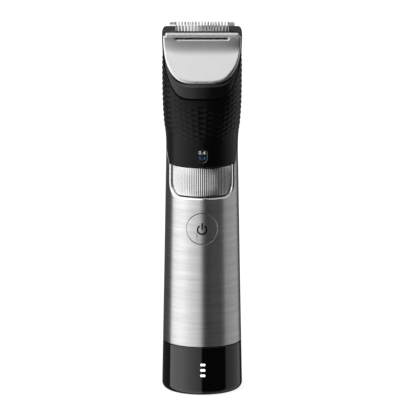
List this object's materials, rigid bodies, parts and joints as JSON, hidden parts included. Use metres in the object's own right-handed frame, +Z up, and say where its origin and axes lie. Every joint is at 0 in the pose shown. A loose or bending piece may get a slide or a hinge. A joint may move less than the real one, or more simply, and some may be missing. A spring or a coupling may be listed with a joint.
{
  "type": "beard trimmer",
  "caption": "Cordless beard trimmer with a steel body, a length wheel, a power button and a sliding comb over a reciprocating blade.",
  "frame": {"origin": "centre of the base's flat underside, on the surface it stands on", "axes": "+Z up along the body, -Y towards the front with the wheel, button and comb plate, +X to the right seen from the front"},
  "size_m": [0.0382, 0.0382, 0.1772],
  "materials": {
    "gloss_black": "high-gloss black",
    "satin_black": "fine matt black",
    "plated_metal": "satin nickel plating",
    "light_lens": "translucent white",
    "board": "green solder mask",
    "led": "moulded",
    "seal": "matt",
    "brushed_steel": "brushed round the body",
    "button_steel": "brushed across",
    "wheel_steel": "ribbed, satin",
    "inner_plastic": "moulded",
    "cell_wrap": "shrink wrap",
    "scale_black": "matt with printed numbers",
    "motor_steel": "zinc-plated",
    "cam_brass": "turned",
    "blade_steel": "ground",
    "head_black": "moulded, with a diamond grip",
    "display_lens": "clear over black",
    "comb_black": "smooth satin",
    "face_chrome": "satin chrome with a polished rim"
  },
  "bodies": {
    "body": {"base_cap": "gloss_black", "socket_insert": "satin_black", "socket_pin_left": "plated_metal", "socket_pin_right": "plated_metal", "light_guide": "light_lens", "indicator_board": "board", "led_lower": "led", "led_middle": "led", "led_upper": "led", "base_seal": "seal", "steel_sleeve": "brushed_steel", "inner_frame": "inner_plastic", "battery_cell": "cell_wrap", "battery_tab_positive": "plated_metal", "battery_tab_negative": "plated_metal", "main_board": "board", "controller_chip": "satin_black", "charge_chip": "satin_black", "power_switch": "plated_metal", "button_guide": "inner_plastic", "button_spring": "plated_metal", "neck_collar": "inner_plastic", "frame_screw_left": "plated_metal", "frame_screw_right": "plated_metal", "click_washer": "plated_metal", "motor_can": "motor_steel", "motor_end_cap": "satin_black", "head_frame": "inner_plastic", "motor_screw_front": "plated_metal", "motor_screw_rear": "plated_metal", "lever_pivot_pin": "plated_metal", "stationary_blade": "blade_steel", "blade_holder": "satin_black", "blade_screw_left": "plated_metal", "blade_screw_right": "plated_metal", "blade_spring": "plated_metal", "head_housing": "head_black", "display_lens": "display_lens"},
    "wheel": {"zoom_wheel": "wheel_steel", "scale_ring": "scale_black"},
    "lifter": {"comb_lifter": "inner_plastic"},
    "comb": {"comb_carrier": "comb_black", "comb_face_plate": "face_chrome", "comb_teeth": "blade_steel"},
    "button": {"power_button": "button_steel", "button_plunger": "inner_plastic"},
    "rotor": {"motor_shaft": "plated_metal", "eccentric_cam": "cam_brass"},
    "lever": {"drive_lever": "inner_plastic"},
    "cutter": {"cutter_blade": "blade_steel", "cutter_carriage": "inner_plastic"}
  },
  "joints": [
    {"name": "wheel_turn", "type": "hinge", "parent": "body", "child": "wheel", "pos_m": [0, 0, 0.1027], "axis": [0, 0, 1], "range_deg": [0, 322]},
    {"name": "lifter_rise", "type": "slide", "parent": "body", "child": "lifter", "axis": [0, 0, 1], "range_m": [0, 0.00411]},
    {"name": "comb_slide", "type": "slide", "parent": "body", "child": "comb", "axis": [0, 0.454, 0.891], "range_m": [0, 0.0046]},
    {"name": "button_press", "type": "slide", "parent": "body", "child": "button", "axis": [0, 1, 0], "range_m": [0, 0.0005], "stiffness_N_per_m": 1500},
    {"name": "motor_spin", "type": "hinge", "parent": "body", "child": "rotor", "pos_m": [0, 0, 0.134], "axis": [0, 0, 1], "continuous": true},
    {"name": "lever_swing", "type": "hinge", "parent": "body", "child": "lever", "pos_m": [0, -0.00176, 0.1569], "axis": [0, -0.891, 0.454], "range_deg": [-2.8, 2.8]},
    {"name": "cutter_stroke", "type": "slide", "parent": "body", "child": "cutter", "axis": [1, 0, 0], "range_m": [-0.00054, 0.00054]}
  ],
  "couplings": [
    {"joint": "wheel_turn", "follows": "comb_slide", "rad_per_m": 1221.7},
    {"joint": "lifter_rise", "follows": "comb_slide", "ratio": 0.89101},
    {"joint": "lever_swing", "follows": "cutter_stroke", "rad_per_m": -90.909}
  ]
}
